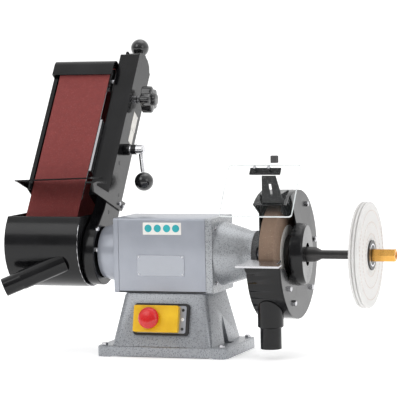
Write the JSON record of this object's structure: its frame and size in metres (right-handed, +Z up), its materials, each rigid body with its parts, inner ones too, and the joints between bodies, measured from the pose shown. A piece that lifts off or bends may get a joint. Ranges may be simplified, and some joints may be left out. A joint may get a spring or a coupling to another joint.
{
  "type": "combination belt and bench grinder",
  "caption": "Bench grinder with a leaning sanding-belt arm on one side, a guarded grinding wheel and a long shaft to a cotton buffing wheel on the other.",
  "frame": {"origin": "centre of the base underside, on the bottom cover", "axes": "+X along the motor shaft to the buffing wheel, +Y to the back, +Z up"},
  "size_m": [0.76, 0.4594, 0.6041],
  "materials": {
    "hammer_grey": "silver-grey hammertone enamel",
    "smooth_grey": "silver-grey enamel",
    "black_enamel": "gloss black powder coat",
    "black_knob": "gloss black phenolic",
    "black_moulding": "black moulding",
    "bright_steel": "bright machined steel",
    "dark_steel": "blackened steel",
    "contact_rubber": "rubber tyre",
    "belt_grit": "red-brown abrasive cloth",
    "wheel_grit": "brown corundum",
    "cotton": "stitched white cotton",
    "brass": "polished brass",
    "clear_sheet": "clear polycarbonate",
    "red_cap": "red",
    "yellow_flap": "yellow",
    "green_button": "green",
    "copper": "lacquered copper windings in laminated iron"
  },
  "bodies": {
    "base": {"pedestal": "hammer_grey", "bottom_cover": "dark_steel", "capacitor": "black_moulding", "cable_gland": "black_moulding", "switch_plate": "black_moulding", "motor_casing": "smooth_grey", "stator": "copper", "left_end_bell": "smooth_grey", "right_end_bell": "hammer_grey", "left_bearing": "bright_steel", "right_bearing": "bright_steel", "rating_plate": "bright_steel", "wheel_guard": "black_enamel", "guard_cover": "black_enamel", "guard_spigot": "black_enamel"},
    "shaft": {"motor_shaft": "bright_steel", "rotor": "dark_steel", "drive_wheel": "contact_rubber", "drive_wheel_nut": "bright_steel", "grinding_wheel": "wheel_grit", "inner_flange": "dark_steel", "outer_flange": "dark_steel", "shaft_extension": "dark_steel", "inner_buff_washer": "dark_steel", "outer_buff_washer": "dark_steel", "buffing_wheel": "cotton", "spindle_nut": "brass"},
    "belt_arm": {"sanding_belt": "belt_grit", "platen": "bright_steel", "arm_frame": "black_enamel", "belt_back_cover": "black_enamel", "top_cover": "black_enamel", "belt_hood": "black_enamel", "belt_dust_spigot": "black_enamel", "tension_spring": "bright_steel", "lever_fork": "black_enamel", "clamp_collar": "black_enamel"},
    "idler_carriage": {"tension_carriage": "dark_steel", "idler_axle": "bright_steel"},
    "idler": {"idler_roller": "bright_steel"},
    "tension_handle": {"tension_lever": "black_enamel"},
    "tracking_handle": {"tracking_knob": "black_knob", "tracking_screw": "bright_steel"},
    "clamp_handle": {"clamp_lever": "bright_steel", "clamp_ball": "black_knob"},
    "belt_table": {"work_table": "black_enamel", "table_bracket": "black_enamel"},
    "wheel_rest": {"tool_rest": "bright_steel", "rest_bracket": "black_enamel"},
    "post": {"shield_post": "black_enamel"},
    "shield": {"shield_bar": "black_enamel", "eye_shield": "clear_sheet"},
    "shield_clamp": {"shield_knob": "black_knob"},
    "flap": {"switch_flap": "yellow_flap"},
    "stop_mushroom": {"stop_head": "red_cap"},
    "stop_push": {"stop_button": "red_cap"},
    "start_push": {"start_button": "green_button"}
  },
  "joints": [
    {"name": "shaft_spin", "type": "hinge", "parent": "base", "child": "shaft", "pos_m": [0, 0, 0.192], "axis": [1, 0, 0], "continuous": true},
    {"name": "arm_tilt", "type": "hinge", "parent": "base", "child": "belt_arm", "pos_m": [-0.155, 0, 0.192], "axis": [1, 0, 0], "range_deg": [-50, 33]},
    {"name": "tension_slide", "type": "slide", "parent": "belt_arm", "child": "idler_carriage", "axis": [0, 0.5807, 0.8141], "range_m": [-0.008, 0], "stiffness_N_per_m": 4000, "springref_m": 0.01},
    {"name": "idler_spin", "type": "hinge", "parent": "idler_carriage", "child": "idler", "pos_m": [-0.246, 0.19148, 0.51727], "axis": [1, 0, 0], "continuous": true},
    {"name": "tension_lever_turn", "type": "hinge", "parent": "belt_arm", "child": "tension_handle", "pos_m": [-0.168, 0.25242, 0.56654], "axis": [1, 0, 0], "range_deg": [0, 60]},
    {"name": "tracking_turn", "type": "hinge", "parent": "belt_arm", "child": "tracking_handle", "pos_m": [-0.145, 0.19871, 0.48263], "axis": [1, 0, 0], "range_deg": [-180, 180]},
    {"name": "clamp_turn", "type": "hinge", "parent": "belt_arm", "child": "clamp_handle", "pos_m": [-0.145, 0.11961, 0.38551], "axis": [1, 0, 0], "range_deg": [-40, 40]},
    {"name": "table_slide", "type": "slide", "parent": "belt_arm", "child": "belt_table", "axis": [0, -0.9455, 0.3256], "range_m": [0, 0.02]},
    {"name": "rest_slide", "type": "slide", "parent": "base", "child": "wheel_rest", "axis": [0, -1, 0], "range_m": [0, 0.006]},
    {"name": "post_slide", "type": "slide", "parent": "base", "child": "post", "axis": [0, -0.4067, 0.9135], "range_m": [0, 0.01]},
    {"name": "shield_tilt", "type": "hinge", "parent": "post", "child": "shield", "pos_m": [0.215, -0.094, 0.354], "axis": [1, 0, 0], "range_deg": [-75, 12]},
    {"name": "shield_clamp_turn", "type": "hinge", "parent": "shield", "child": "shield_clamp", "pos_m": [0.229, -0.082, 0.37], "axis": [0, 0, 1], "range_deg": [-180, 180]},
    {"name": "flap_hinge", "type": "hinge", "parent": "base", "child": "flap", "pos_m": [-0.0525, -0.08961, 0.07439], "axis": [0, -0.2409, -0.9705], "range_deg": [0, 110]},
    {"name": "stop_head_push", "type": "slide", "parent": "flap", "child": "stop_mushroom", "axis": [0, 0.9705, -0.2409], "range_m": [0, 0.0035], "stiffness_N_per_m": 300},
    {"name": "stop_button_push", "type": "slide", "parent": "base", "child": "stop_push", "axis": [0, 0.9705, -0.2409], "range_m": [0, 0.003], "stiffness_N_per_m": 300},
    {"name": "start_button_push", "type": "slide", "parent": "base", "child": "start_push", "axis": [0, 0.9705, -0.2409], "range_m": [0, 0.003], "stiffness_N_per_m": 300}
  ],
  "couplings": [
    {"joint": "idler_spin", "follows": "shaft_spin", "ratio": 2.2222},
    {"joint": "tension_lever_turn", "follows": "tension_slide", "rad_per_m": -130.9}
  ]
}
